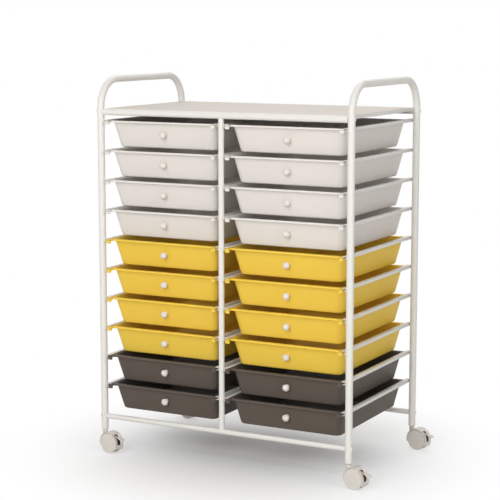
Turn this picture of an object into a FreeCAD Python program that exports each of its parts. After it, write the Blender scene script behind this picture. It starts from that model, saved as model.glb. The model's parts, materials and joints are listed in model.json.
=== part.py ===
import FreeCAD, Part
import math
import os

# A rolling storage cart: two side tubes bent into handles, a ladder of rails between them,
# twenty tray drawers in two columns and four braked twin-wheel casters. Millimetres, Z up,
# front towards -Y. The origin lies on the floor, midway between the four posts.

V = FreeCAD.Vector
X_AXIS = V(1, 0, 0)
Y_AXIS = V(0, 1, 0)
Z_AXIS = V(0, 0, 1)

TOUCH = 1e-6             # places that count as the same when edges are picked

# Clearances
SEAT_GAP = 0.05          # between pieces that are fixed to each other
WELD_GAP = 0.1           # between a rail and the post it is welded to
RUNNING_GAP = 0.05       # radial, shafts that turn in a hole

# Drawers
ROWS = 10
RIM_WIDTH = 290.6        # across the drawer, over the rim that rides in the rails
RIM_SETBACK = 3.25       # rim edge behind the line of the posts
RIM_HEIGHT = 4.0         # hem that hangs from the edge of the rim
RIM_CORNER = 9.0
RIM_SIDE = 10.3          # width of the rim at the sides
RIM_FRONT = 7.5          # width of the rim at the front and back
TRAY_WALL = 2.0
TRAY_FLOOR = 2.2
TRAY_HEIGHT = 60.0
TRAY_CORNER = 14.0       # radius of the upright corners
DRAFT_SIDE = 12.0        # how far a side wall leans in from rim to floor
DRAFT_FRONT = 14.5
FLOOR_ROUND = 4.0        # outside radius along the bottom edges
ROW_GAP = 7.44           # floor of one drawer to rim of the next
STOP_WIDTH = 10.0        # stop tabs at the front corners of the rim
STOP_THICK = 4.5
STOP_DROP = 9.0
STOP_REACH = 3.0         # how far a tab stands in front of the rail's end
STOP_GAP = 0.3

# Rails
RAIL_WALL = 1.0
RAIL_DEPTH = 9.5
RAIL_OVERHANG = 2.8      # rail end past the centre line of a post
RIM_REST_GAP = 0.3       # rim over the rail's lower flange
RIM_TOP_GAP = 0.6
RIM_SIDE_GAP = 1.2

# Frame
POST_PITCH_Y = 360.3     # front post to rear post
POST_D = 16.0
TUBE_WALL = 1.2
HANDLE_BEND = 64.0       # radius at the tube's centre line
HANDLE_RISE = 71.85      # handle over the top crossbars
MIDDLE_POST_D = 12.6
TOP_BAR_D = 15.0
TOP_BAR_GAP = 12.26      # first rim to the underside of the top crossbar
LOW_BAR_D = 12.0
LOW_BAR_RISE = 30.0      # low crossbar over the ends of the posts
LOW_BAR_GAP = 10.8       # low crossbar to the floor of the lowest drawer
SHELF_BOARD = 7.4
SHELF_ROUND = 1.5
LEDGE_WIDTH = 14.0       # angle that carries the edge of the shelf

# Screws and threaded plugs that hold the crossbars
SCREW_D = 5.0
SCREW_HOLE_D = 5.2
SCREW_HEAD_D = 8.0
SCREW_HEAD = 1.2
SCREW_KEY = 3.0          # across the flats of the hexagon socket
SCREW_KEY_DEPTH = 1.4
SCREW_ROUND = 0.8
PLUG_INSET = 2.0         # plug behind the post's near side
PLUG_LENGTH = 18.0

# Knobs
KNOB_DROP = 28.0         # rim to the knob's seat on the front wall
KNOB_LENGTH = 14.5
KNOB_HEAD_D = 16.2
KNOB_BASE_D = 10.4
KNOB_NECK_D = 9.0
KNOB_NECK_AT = 3.0
KNOB_HEAD_AT = 8.5       # widest section of the head, from the seat
KNOB_WAIST_HOLLOW = 0.8  # sag of the curve between neck and head
KNOB_SCREW_D = 4.0
KNOB_HOLE_GAP = 0.1      # screw in the front wall
KNOB_SCREW_HEAD_D = 8.0
KNOB_SCREW_HEAD = 2.4
KNOB_THREAD = 9.0        # length of screw inside the knob
KNOB_HOLE_SPARE = 1.5    # bore past the end of the screw

# Casters
WHEEL_D = 47.0
WHEEL_WIDTH = 6.4
WHEEL_CROWN = 0.9        # bulge of the outer face
WHEEL_ROUND = 1.6
WHEEL_SKIN = 2.2         # outer face over the blind hole for the axle
TRAIL = 19.5             # axle beside the swivel axis
CASTER_TURN = -12.0      # degrees about the swivel axis, from trailing straight to +X
AXLE_D = 6.0
WEB_THICK = 12.0         # body between the two wheels
WHEEL_GAP = 0.6          # wheel to that body
FENDER_GAP = 0.9         # wheel to the fender over it
FENDER_WALL = 2.0
FENDER_FROM = -30.0      # degrees about the axle, from +X towards +Z
FENDER_TO = 195.0
FENDER_LIP = -0.8        # fender past the outer faces of the wheels
HUB_D = 14.0
NECK_D = 11.5
NECK_RISE = 4.8          # post end over the top of the fender
STEM_D = 8.0
STEM_FLOOR = 1.0         # body left under the stem
STEM_IN_SOCKET = 24.0
SOCKET_SPARE = 1.0       # bore past the end of the stem
SOCKET_FLANGE_D = 15.6
SOCKET_FLANGE = 1.2
THRUST_GAP = 0.3         # neck under the socket's flange

# Brake levers, placed about the axle
PIVOT_INSET = 5.96       # pivot inside the fender's inner face
PIVOT_ANGLE = 49.4       # degrees about the axle, from +X towards +Z
PIVOT_D = 3.6
EYE_D = 6.8
EYE_SIDE_GAP = 0.3       # lever's eye to the walls of its pocket
ARM_THICK = 3.2
ARM_WIDTH = 4.0
KNEE_CLEAR = 3.5         # where the arm meets the paddle, outside the fender
KNEE_ANGLE = 31.0
PADDLE_LENGTH = 14.0
PADDLE_SLOPE = 21.8      # degrees down from level, free
PADDLE_THICK = 3.0
PADDLE_WIDTH = 10.0
PADDLE_ROUND = 1.2
WINDOW_WIDTH = 11.0      # slot in the fender where the arm comes out
WINDOW_FROM = -6.0
WINDOW_TO = 57.0
POCKET_WIDTH = 9.0       # room for the lever inside the body
POCKET_FROM = -10.0
POCKET_TO = 62.0
POCKET_INNER_R = 9.0

# Heights that follow from the sizes above
WHEEL_R = WHEEL_D / 2
AXLE_Z = WHEEL_R
FENDER_IN = WHEEL_R + FENDER_GAP
FENDER_OUT = FENDER_IN + FENDER_WALL
POST_R = POST_D / 2
POST_END_Z = AXLE_Z + FENDER_OUT + NECK_RISE
LOW_BAR_Z = POST_END_Z + LOW_BAR_RISE
ROW_PITCH = TRAY_HEIGHT + ROW_GAP
LOWEST_RIM_Z = LOW_BAR_Z + LOW_BAR_D / 2 + LOW_BAR_GAP + TRAY_HEIGHT
TOP_RIM_Z = LOWEST_RIM_Z + (ROWS - 1) * ROW_PITCH
TOP_BAR_Z = TOP_RIM_Z + TOP_BAR_GAP + TOP_BAR_D / 2
HANDLE_Z = TOP_BAR_Z + HANDLE_RISE

# The lever's pivot, knee and tip beside the axle, that follow from the sizes above
PIVOT_R = FENDER_IN - PIVOT_INSET
PIVOT_OUT = PIVOT_R * math.cos(math.radians(PIVOT_ANGLE))
PIVOT_UP = PIVOT_R * math.sin(math.radians(PIVOT_ANGLE))
KNEE_R = FENDER_OUT + KNEE_CLEAR
KNEE_OUT = KNEE_R * math.cos(math.radians(KNEE_ANGLE))
KNEE_UP = KNEE_R * math.sin(math.radians(KNEE_ANGLE))
PADDLE_OUT = KNEE_OUT + PADDLE_LENGTH * math.cos(math.radians(PADDLE_SLOPE))
PADDLE_UP = KNEE_UP - PADDLE_LENGTH * math.sin(math.radians(PADDLE_SLOPE))

# Plan positions that follow from the sizes above
MIDDLE_WEB_X = MIDDLE_POST_D / 2 + WELD_GAP
COLUMN_X = MIDDLE_WEB_X + RAIL_WALL + RIM_SIDE_GAP + RIM_WIDTH / 2
SIDE_WEB_X = COLUMN_X + RIM_WIDTH / 2 + RIM_SIDE_GAP + RAIL_WALL
POST_X = SIDE_WEB_X + WELD_GAP + POST_R
POST_Y = POST_PITCH_Y / 2
RAIL_END_Y = POST_Y + RAIL_OVERHANG
RIM_HALF_X = RIM_WIDTH / 2
RIM_HALF_Y = POST_Y - RIM_SETBACK
WALL_HALF_X = RIM_HALF_X - RIM_SIDE
WALL_HALF_Y = RIM_HALF_Y - RIM_FRONT


def box(low, high):
    """A block between two opposite corners."""
    size = high - low
    return Part.makeBox(size.x, size.y, size.z, low)


def rod(diameter, start, end):
    """A round bar between two points."""
    return Part.makeCylinder(diameter / 2, (end - start).Length, start, end - start)


def rounded_outline(half_x, half_y, radius, z):
    """A closed rectangle with round corners, centred on the Z axis."""
    edges = []
    mid = radius * math.sqrt(0.5)
    corners = [(1, 1), (-1, 1), (-1, -1), (1, -1)]
    ends = []
    for sx, sy in corners:
        cx = sx * (half_x - radius)
        cy = sy * (half_y - radius)
        along_x = V(cx, cy + sy * radius, z)
        along_y = V(cx + sx * radius, cy, z)
        first, last = (along_y, along_x) if sx == sy else (along_x, along_y)
        ends.append((first, V(cx + sx * mid, cy + sy * mid, z), last))
    for i, (first, middle, last) in enumerate(ends):
        edges.append(Part.Arc(first, middle, last).toShape())
        edges.append(Part.LineSegment(last, ends[(i + 1) % 4][0]).toShape())
    return Part.Wire(edges)


def slab(half_x, half_y, radius, z_low, z_high):
    """A flat plate with round corners."""
    face = Part.Face(rounded_outline(half_x, half_y, radius, z_low))
    return face.extrude(V(0, 0, z_high - z_low))


def tapered(inset, z_low, z_high):
    """The tray's tapering form, moved in by inset on all sides, between two heights below its rim."""
    outlines = []
    for z in (z_low, z_high):
        lean = -z / TRAY_HEIGHT
        half_x = WALL_HALF_X - inset - DRAFT_SIDE * lean
        half_y = WALL_HALF_Y - inset - DRAFT_FRONT * lean
        outlines.append(rounded_outline(half_x, half_y, TRAY_CORNER - inset, z))
    return Part.makeLoft(outlines, True, True)


def edges_at(shape, z):
    """The edges of a shape that lie level at one height."""
    return [e for e in shape.Edges
            if abs(e.BoundBox.ZMin - z) < TOUCH and abs(e.BoundBox.ZMax - z) < TOUCH]


def sector(r_in, r_out, width, start, end):
    """Part of a ring about the Y axis, from start to end degrees, measured from +X towards +Z."""
    half = width / 2
    corners = [V(r_in, -half, 0), V(r_out, -half, 0), V(r_out, half, 0), V(r_in, half, 0)]
    face = Part.Face(Part.makePolygon(corners + corners[:1]))
    face.rotate(V(0, 0, 0), -Y_AXIS, start)
    return face.revolve(V(0, 0, 0), -Y_AXIS, end - start)


def turned(profile, axis):
    """The solid that a closed profile makes when it is turned about an axis through the origin."""
    solid = Part.Face(Part.Wire(profile)).revolve(V(0, 0, 0), axis, 360)
    if solid.Volume < 0:
        solid.reverse()
    return solid


def cap_middle(radius, rise):
    """The point halfway along a round cap's profile: its radius, and its drop below the tip."""
    sphere_r = (radius * radius + rise * rise) / (2 * rise)
    half_angle = math.atan2(radius, sphere_r - rise) / 2
    return sphere_r * math.sin(half_angle), sphere_r * (1 - math.cos(half_angle))


def front_wall_frame():
    """The knob's seat on the front wall, the way out of the wall and its lean, with the rim at Z 0."""
    lean = math.atan2(DRAFT_FRONT, TRAY_HEIGHT)
    seat = V(0, -WALL_HALF_Y + DRAFT_FRONT * KNOB_DROP / TRAY_HEIGHT, -KNOB_DROP)
    outward = V(0, -math.cos(lean), -math.sin(lean))
    return seat, outward, lean


def drawer():
    """A tray drawer with its rim's top at Z 0, centred on the Z axis."""
    shell = tapered(0, -TRAY_HEIGHT, 0)
    shell = shell.makeFillet(FLOOR_ROUND, edges_at(shell, -TRAY_HEIGHT))
    plate = slab(RIM_HALF_X, RIM_HALF_Y, RIM_CORNER, -TRAY_WALL, 0)
    hem = slab(RIM_HALF_X, RIM_HALF_Y, RIM_CORNER, -RIM_HEIGHT, -TRAY_WALL)
    hem_hole = slab(RIM_HALF_X - TRAY_WALL, RIM_HALF_Y - TRAY_WALL, RIM_CORNER - TRAY_WALL,
                    -RIM_HEIGHT, -TRAY_WALL)
    body = shell.fuse([plate, hem.cut(hem_hole)])
    tab_back = RAIL_END_Y + STOP_GAP
    tab_front = tab_back + STOP_THICK
    rail_edge = RIM_HALF_X + RIM_SIDE_GAP + RAIL_WALL - RAIL_DEPTH
    tab_far = rail_edge + STOP_REACH
    for side in (-1, 1):
        x_low, x_high = sorted((side * (tab_far - STOP_WIDTH), side * tab_far))
        ear = box(V(x_low, -tab_front, -RIM_HEIGHT), V(x_high, -RIM_HALF_Y + TRAY_WALL, 0))
        tab = box(V(x_low, -tab_front, -STOP_DROP), V(x_high, -tab_back, 0))
        body = body.fuse([ear, tab])
    hollow = tapered(TRAY_WALL, -TRAY_HEIGHT + TRAY_FLOOR, 0)
    hollow = hollow.makeFillet(FLOOR_ROUND - TRAY_WALL, edges_at(hollow, -TRAY_HEIGHT + TRAY_FLOOR))
    seat, outward, _ = front_wall_frame()
    hole_d = KNOB_SCREW_D + 2 * KNOB_HOLE_GAP
    hole = rod(hole_d, seat + outward * TRAY_WALL, seat - outward * 2 * TRAY_WALL)
    return body.cut(hollow).cut(hole).removeSplitter()


def knob():
    """A round knob on its seat on the front wall, and the screw that holds it from inside the drawer."""
    start = V(0, 0, SEAT_GAP)
    base = V(KNOB_BASE_D / 2, 0, SEAT_GAP)
    neck = V(KNOB_NECK_D / 2, 0, KNOB_NECK_AT)
    head = V(KNOB_HEAD_D / 2, 0, KNOB_HEAD_AT)
    tip = V(0, 0, KNOB_LENGTH)
    along = (head - neck).normalize()
    waist_mid = (neck + head) * 0.5 + V(-along.z, 0, along.x) * KNOB_WAIST_HOLLOW
    cap_r, cap_drop = cap_middle(KNOB_HEAD_D / 2, KNOB_LENGTH - KNOB_HEAD_AT)
    dome_mid = V(cap_r, 0, KNOB_LENGTH - cap_drop)
    profile = [Part.LineSegment(start, base).toShape(),
               Part.LineSegment(base, neck).toShape(),
               Part.Arc(neck, waist_mid, head).toShape(),
               Part.Arc(head, dome_mid, tip).toShape(),
               Part.LineSegment(tip, start).toShape()]
    head_piece = turned(profile, Z_AXIS)
    bore_d = KNOB_SCREW_D + 2 * RUNNING_GAP
    head_piece = head_piece.cut(rod(bore_d, V(0, 0, 0), V(0, 0, KNOB_THREAD + KNOB_HOLE_SPARE)))
    seat, outward, lean = front_wall_frame()
    inside = -TRAY_WALL * math.cos(lean) - SEAT_GAP
    shank = rod(KNOB_SCREW_D, V(0, 0, inside), V(0, 0, KNOB_THREAD))
    cap = rod(KNOB_SCREW_HEAD_D, V(0, 0, inside - KNOB_SCREW_HEAD), V(0, 0, inside))
    cap = cap.makeFillet(KNOB_SCREW_HEAD / 2, edges_at(cap, inside - KNOB_SCREW_HEAD))
    pieces = [head_piece, cap.fuse(shank).removeSplitter()]
    for piece in pieces:
        piece.Placement = FreeCAD.Placement(seat, FreeCAD.Rotation(Z_AXIS, outward))
    return pieces


def rail(web_x, inward, rim_z):
    """A channel that holds one side of a drawer's rim. Its web stands at web_x and opens along inward."""
    low = rim_z - RIM_HEIGHT - RIM_REST_GAP - RAIL_WALL
    high = rim_z + RIM_TOP_GAP + RAIL_WALL
    x_low, x_high = sorted((web_x, web_x + inward * RAIL_DEPTH))
    channel = box(V(x_low, -RAIL_END_Y, low), V(x_high, RAIL_END_Y, high))
    x_low, x_high = sorted((web_x + inward * RAIL_WALL, web_x + inward * (RAIL_DEPTH + RAIL_WALL)))
    inside = box(V(x_low, -RAIL_END_Y, low + RAIL_WALL), V(x_high, RAIL_END_Y, high - RAIL_WALL))
    return channel.cut(inside)


def ledge(side):
    """An angle between the top crossbars that carries one edge of the shelf."""
    end_y = POST_Y - TOP_BAR_D / 2 - WELD_GAP
    top = TOP_BAR_Z + TOP_BAR_D / 2
    bottom = top - SHELF_BOARD - SEAT_GAP - RAIL_WALL
    x_low, x_high = sorted((side * SIDE_WEB_X, side * (SIDE_WEB_X - RAIL_WALL)))
    web = box(V(x_low, -end_y, bottom), V(x_high, end_y, top))
    x_low, x_high = sorted((side * SIDE_WEB_X, side * (SIDE_WEB_X - LEDGE_WIDTH)))
    flange = box(V(x_low, -end_y, bottom), V(x_high, end_y, bottom + RAIL_WALL))
    return web.fuse(flange).removeSplitter()


def drawer_rails():
    """All rails: two beside each drawer, and the two angles under the shelf."""
    pieces = []
    for row in range(ROWS):
        rim_z = TOP_RIM_Z - row * ROW_PITCH
        for side in (-1, 1):
            pieces.append(rail(side * MIDDLE_WEB_X, side, rim_z))
            pieces.append(rail(side * SIDE_WEB_X, -side, rim_z))
    return pieces + [ledge(-1), ledge(1)]


def side_tube(side):
    """One tube bent into a front post, a handle and a rear post."""
    x = side * POST_X
    bend_y = POST_Y - HANDLE_BEND
    bend_z = HANDLE_Z - HANDLE_BEND
    mid = HANDLE_BEND * math.sqrt(0.5)
    front_foot = V(x, -POST_Y, POST_END_Z)
    front_top = V(x, -POST_Y, bend_z)
    front_mid = V(x, -bend_y - mid, bend_z + mid)
    handle_front = V(x, -bend_y, HANDLE_Z)
    handle_rear = V(x, bend_y, HANDLE_Z)
    rear_mid = V(x, bend_y + mid, bend_z + mid)
    rear_top = V(x, POST_Y, bend_z)
    rear_foot = V(x, POST_Y, POST_END_Z)
    path = Part.Wire([Part.LineSegment(front_foot, front_top).toShape(),
                      Part.Arc(front_top, front_mid, handle_front).toShape(),
                      Part.LineSegment(handle_front, handle_rear).toShape(),
                      Part.Arc(handle_rear, rear_mid, rear_top).toShape(),
                      Part.LineSegment(rear_top, rear_foot).toShape()])
    outside = Part.Wire(Part.makeCircle(POST_R, front_foot, Z_AXIS))
    inside = Part.Wire(Part.makeCircle(POST_R - TUBE_WALL, front_foot, Z_AXIS))
    tube = path.makePipeShell([outside], True, True).cut(path.makePipeShell([inside], True, True))
    for y in (-POST_Y, POST_Y):
        for z in (LOW_BAR_Z, TOP_BAR_Z):
            tube = tube.cut(rod(SCREW_HOLE_D, V(x - POST_D, y, z), V(x + POST_D, y, z)))
    return tube


def hollow_bar(diameter, start, end):
    """A straight tube between two points."""
    return rod(diameter, start, end).cut(rod(diameter - 2 * TUBE_WALL, start, end))


def crossbar(y, z, diameter):
    """A tube from side to side, its ends hollowed to fit the round of the posts."""
    bar = hollow_bar(diameter, V(-POST_X, y, z), V(POST_X, y, z))
    for x in (-POST_X, POST_X):
        bar = bar.cut(rod(POST_D + 2 * SEAT_GAP, V(x, y, z - POST_D), V(x, y, z + POST_D)))
    return bar


def crossbars():
    """The four crossbars, front and rear, top and bottom."""
    return [crossbar(y, z, d) for y in (-POST_Y, POST_Y)
            for z, d in ((TOP_BAR_Z, TOP_BAR_D), (LOW_BAR_Z, LOW_BAR_D))]


def middle_post(y):
    """An upright between the crossbars, its ends hollowed to fit their round."""
    post = hollow_bar(MIDDLE_POST_D, V(0, y, LOW_BAR_Z), V(0, y, TOP_BAR_Z))
    for z, diameter in ((LOW_BAR_Z, LOW_BAR_D), (TOP_BAR_Z, TOP_BAR_D)):
        post = post.cut(rod(diameter + 2 * SEAT_GAP, V(-POST_D, y, z), V(POST_D, y, z)))
    return post


def top_shelf():
    """The board on top, level with the crossbars and held by the two angles."""
    half_x = SIDE_WEB_X - RAIL_WALL - WELD_GAP
    half_y = POST_Y - TOP_BAR_D / 2 - WELD_GAP
    top = TOP_BAR_Z + TOP_BAR_D / 2
    board = box(V(-half_x, -half_y, top - SHELF_BOARD), V(half_x, half_y, top))
    return board.makeFillet(SHELF_ROUND, edges_at(board, top))


def screw(side, y, z):
    """A screw through a post into the end of a crossbar, its head shaped to the round of the post."""
    face_x = POST_X + POST_R
    cap = rod(SCREW_HEAD_D, V(POST_X, y, z), V(face_x + SCREW_HEAD, y, z))
    outer_edges = [e for e in cap.Edges if e.BoundBox.XMin > face_x + SCREW_HEAD - TOUCH]
    cap = cap.makeFillet(SCREW_ROUND, outer_edges)
    post_room = rod(POST_D + 2 * SEAT_GAP, V(POST_X, y, z - SCREW_HEAD_D), V(POST_X, y, z + SCREW_HEAD_D))
    cap = cap.cut(post_room)
    inner_x = POST_X - POST_R - PLUG_INSET - PLUG_LENGTH
    shank = rod(SCREW_D, V(inner_x, y, z), V(face_x + SCREW_HEAD / 4, y, z))
    key_r = SCREW_KEY / math.sqrt(3)
    corners = [V(face_x + SCREW_HEAD, y + key_r * math.cos(a), z + key_r * math.sin(a))
               for a in (math.radians(60 * i) for i in range(6))]
    socket = Part.Face(Part.makePolygon(corners + corners[:1])).extrude(V(-SCREW_KEY_DEPTH, 0, 0))
    whole = cap.fuse(shank).cut(socket).removeSplitter()
    return whole if side > 0 else whole.mirror(V(0, 0, 0), X_AXIS)


def plug(side, y, z, diameter):
    """The threaded plug in the end of a crossbar."""
    outer_x = POST_X - POST_R - PLUG_INSET
    start = V(side * outer_x, y, z)
    end = V(side * (outer_x - PLUG_LENGTH), y, z)
    body = rod(diameter - 2 * TUBE_WALL - 2 * SEAT_GAP, start, end)
    return body.cut(rod(SCREW_D + 2 * RUNNING_GAP, start, end))


def frame_fasteners():
    """The eight screws and the eight plugs that join the crossbars to the side tubes."""
    pieces = []
    for side in (-1, 1):
        for y in (-POST_Y, POST_Y):
            for z, diameter in ((TOP_BAR_Z, TOP_BAR_D), (LOW_BAR_Z, LOW_BAR_D)):
                pieces.append(screw(side, y, z))
                pieces.append(plug(side, y, z, diameter))
    return pieces


def caster_socket(x, y):
    """The plug in the end of a post that the caster's stem turns in."""
    body_d = POST_D - 2 * TUBE_WALL - 2 * SEAT_GAP
    depth = STEM_IN_SOCKET + SOCKET_SPARE
    flange_top = POST_END_Z - SEAT_GAP
    flange_low = flange_top - SOCKET_FLANGE
    body = rod(body_d, V(x, y, flange_low), V(x, y, POST_END_Z + depth))
    flange = rod(SOCKET_FLANGE_D, V(x, y, flange_low), V(x, y, flange_top))
    bore = rod(STEM_D + 2 * RUNNING_GAP, V(x, y, flange_low), V(x, y, POST_END_Z + depth))
    return body.fuse(flange).cut(bore).removeSplitter()


def caster_hood():
    """The caster's body: fender, plate between the wheels, neck and lever pin, with the stem in its neck."""
    at_axle = V(TRAIL, 0, AXLE_Z)
    width = WEB_THICK + 2 * (WHEEL_GAP + WHEEL_WIDTH + FENDER_LIP)
    fender = sector(FENDER_IN, FENDER_OUT, width, FENDER_FROM, FENDER_TO)
    web = sector(0, FENDER_IN + FENDER_WALL / 2, WEB_THICK, FENDER_FROM, FENDER_TO)
    half = V(0, WEB_THICK / 2, 0)
    hub = rod(HUB_D, -half, half)
    pocket = sector(POCKET_INNER_R, FENDER_IN, POCKET_WIDTH, POCKET_FROM, POCKET_TO)
    window = sector(FENDER_IN - FENDER_GAP / 2, FENDER_OUT + FENDER_WALL, WINDOW_WIDTH,
                    WINDOW_FROM, WINDOW_TO)
    pivot = V(PIVOT_OUT, 0, PIVOT_UP)
    pin = rod(PIVOT_D, pivot - half, pivot + half)
    body = web.fuse(hub).cut(pocket).fuse([fender, pin]).cut(window)
    body.translate(at_axle)
    neck_top = POST_END_Z - SEAT_GAP - SOCKET_FLANGE - THRUST_GAP
    neck = rod(NECK_D, V(0, 0, AXLE_Z), V(0, 0, neck_top))
    wheel_room = rod(2 * FENDER_IN, at_axle - V(0, width, 0), at_axle + V(0, width, 0))
    stem_low_out = TRAIL - STEM_D / 2
    stem_low = AXLE_Z + math.sqrt((FENDER_IN + STEM_FLOOR) ** 2 - stem_low_out ** 2)
    bore = rod(STEM_D + 2 * SEAT_GAP, V(0, 0, stem_low), V(0, 0, neck_top))
    axle_bore = rod(AXLE_D + 2 * RUNNING_GAP, at_axle - half, at_axle + half)
    body = body.fuse(neck.cut(wheel_room)).cut(bore).cut(axle_bore).removeSplitter()
    stem = rod(STEM_D, V(0, 0, stem_low + SEAT_GAP), V(0, 0, POST_END_Z + STEM_IN_SOCKET))
    return [body, stem]


def wheel(side):
    """One wheel, plain and slightly domed outside, with a blind hole for the axle inside."""
    inner = WEB_THICK / 2 + WHEEL_GAP
    outer = inner + WHEEL_WIDTH
    rim_y = outer - WHEEL_CROWN
    hole_r = AXLE_D / 2 + SEAT_GAP
    hole_end = outer - WHEEL_SKIN
    round_mid = WHEEL_ROUND * (1 - math.sqrt(0.5))
    hole_in = V(hole_r, inner, 0)
    tread_in = V(WHEEL_R - WHEEL_ROUND, inner, 0)
    tread_low = V(WHEEL_R, inner + WHEEL_ROUND, 0)
    tread_high = V(WHEEL_R, rim_y - WHEEL_ROUND, 0)
    face = V(WHEEL_R - WHEEL_ROUND, rim_y, 0)
    centre = V(0, outer, 0)
    hole_bottom = V(0, hole_end, 0)
    hole_edge = V(hole_r, hole_end, 0)
    inner_mid = V(WHEEL_R - round_mid, inner + round_mid, 0)
    outer_mid = V(WHEEL_R - round_mid, rim_y - round_mid, 0)
    cap_r, cap_drop = cap_middle(WHEEL_R - WHEEL_ROUND, WHEEL_CROWN)
    dome_mid = V(cap_r, outer - cap_drop, 0)
    profile = [Part.LineSegment(hole_in, tread_in).toShape(),
               Part.Arc(tread_in, inner_mid, tread_low).toShape(),
               Part.LineSegment(tread_low, tread_high).toShape(),
               Part.Arc(tread_high, outer_mid, face).toShape(),
               Part.Arc(face, dome_mid, centre).toShape(),
               Part.LineSegment(centre, hole_bottom).toShape(),
               Part.LineSegment(hole_bottom, hole_edge).toShape(),
               Part.LineSegment(hole_edge, hole_in).toShape()]
    disc = turned(profile, Y_AXIS)
    if side < 0:
        disc = disc.mirror(V(0, 0, 0), Y_AXIS)
    disc.translate(V(TRAIL, 0, AXLE_Z))
    return disc


def caster_wheels():
    """The two wheels of a caster and the axle that joins them."""
    reach = WEB_THICK / 2 + WHEEL_GAP + WHEEL_WIDTH - WHEEL_SKIN - 2 * SEAT_GAP
    axle = rod(AXLE_D, V(TRAIL, -reach, AXLE_Z), V(TRAIL, reach, AXLE_Z))
    return [wheel(-1), wheel(1), axle]


def bar_outline(start, end, thick):
    """A closed upright outline of a straight bar between two points of the XZ plane."""
    along = (end - start).normalize()
    across = V(-along.z, 0, along.x) * (thick / 2)
    corners = [start + across, end + across, end - across, start - across]
    return Part.Face(Part.makePolygon(corners + corners[:1]))


def brake_lever():
    """The lever that turns on the pin inside the body and ends in a paddle outside the fender."""
    at_axle = V(TRAIL, 0, AXLE_Z)
    pivot = V(PIVOT_OUT, 0, PIVOT_UP)
    knee = V(KNEE_OUT, 0, KNEE_UP)
    tip = V(PADDLE_OUT, 0, PADDLE_UP)
    arm_half = V(0, ARM_WIDTH / 2, 0)
    eye_half = V(0, POCKET_WIDTH / 2 - EYE_SIDE_GAP, 0)
    paddle_half = V(0, PADDLE_WIDTH / 2, 0)
    arm = bar_outline(pivot, knee, ARM_THICK)
    arm.translate(-arm_half)
    arm = arm.extrude(arm_half * 2)
    eye = rod(EYE_D, pivot - eye_half, pivot + eye_half)
    knuckle = rod(ARM_THICK, knee - arm_half, knee + arm_half)
    paddle = bar_outline(knee, tip, PADDLE_THICK)
    paddle.translate(-paddle_half)
    paddle = paddle.extrude(paddle_half * 2)
    tip_edges = [e for e in paddle.Edges if e.Length > PADDLE_WIDTH - TOUCH
                 and (e.CenterOfMass - tip).Length < PADDLE_THICK]
    paddle = paddle.makeFillet(PADDLE_ROUND, tip_edges)
    bore = rod(PIVOT_D + 2 * RUNNING_GAP, pivot - eye_half, pivot + eye_half)
    lever = arm.fuse([eye, knuckle, paddle]).cut(bore).removeSplitter()
    lever.translate(at_axle)
    return lever


def moved(shape, x, y, z):
    """A copy of a shape at another place."""
    copy = shape.copy()
    copy.translate(V(x, y, z))
    return copy


def swivelled(shape):
    """A copy of a caster's piece, turned about the swivel axis to the way that the casters stand."""
    copy = shape.copy()
    copy.rotate(V(0, 0, 0), Z_AXIS, CASTER_TURN)
    return copy


def export(node, solids):
    """Write one node's solids to its file."""
    shape = solids[0] if len(solids) == 1 else Part.makeCompound(solids)
    shape.exportStep("parts/" + node + ".step")


def main():
    """Build every node of the cart."""
    os.makedirs("parts", exist_ok=True)
    export("left_side_tube", [side_tube(-1)])
    export("right_side_tube", [side_tube(1)])
    export("middle_posts", [middle_post(-POST_Y), middle_post(POST_Y)])
    export("crossbars", crossbars())
    export("drawer_rails", drawer_rails())
    export("top_shelf", [top_shelf()])
    export("frame_fasteners", frame_fasteners())
    tray = drawer()
    knob_and_screw = knob()
    for column, x in (("left", -COLUMN_X), ("right", COLUMN_X)):
        for row in range(ROWS):
            z = TOP_RIM_Z - row * ROW_PITCH
            number = "%s_%02d" % (column, row + 1)
            export("drawer_" + number, [moved(tray, x, 0, z)])
            export("knob_" + number, [moved(piece, x, 0, z) for piece in knob_and_screw])
    posts = {"front_left": (-POST_X, -POST_Y), "front_right": (POST_X, -POST_Y),
             "rear_left": (-POST_X, POST_Y), "rear_right": (POST_X, POST_Y)}
    export("caster_sockets", [caster_socket(x, y) for x, y in posts.values()])
    hood = [swivelled(piece) for piece in caster_hood()]
    wheels = [swivelled(piece) for piece in caster_wheels()]
    lever = swivelled(brake_lever())
    for corner, (x, y) in posts.items():
        export("caster_hood_" + corner, [moved(piece, x, y, 0) for piece in hood])
        export("caster_wheels_" + corner, [moved(piece, x, y, 0) for piece in wheels])
        export("brake_lever_" + corner, [moved(lever, x, y, 0)])


main()
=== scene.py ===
"""Dresses a rolling drawer cart in a plain studio.

Tubes, rails, trays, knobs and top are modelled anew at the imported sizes. Hoods, wheels, levers, sockets
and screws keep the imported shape. Every piece gets its finish.
"""
import json
import logging
import math
from dataclasses import dataclass
from enum import Enum
from typing import Any, Iterable, Union

import bmesh
import bpy
from mathutils import Matrix, Vector

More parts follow.
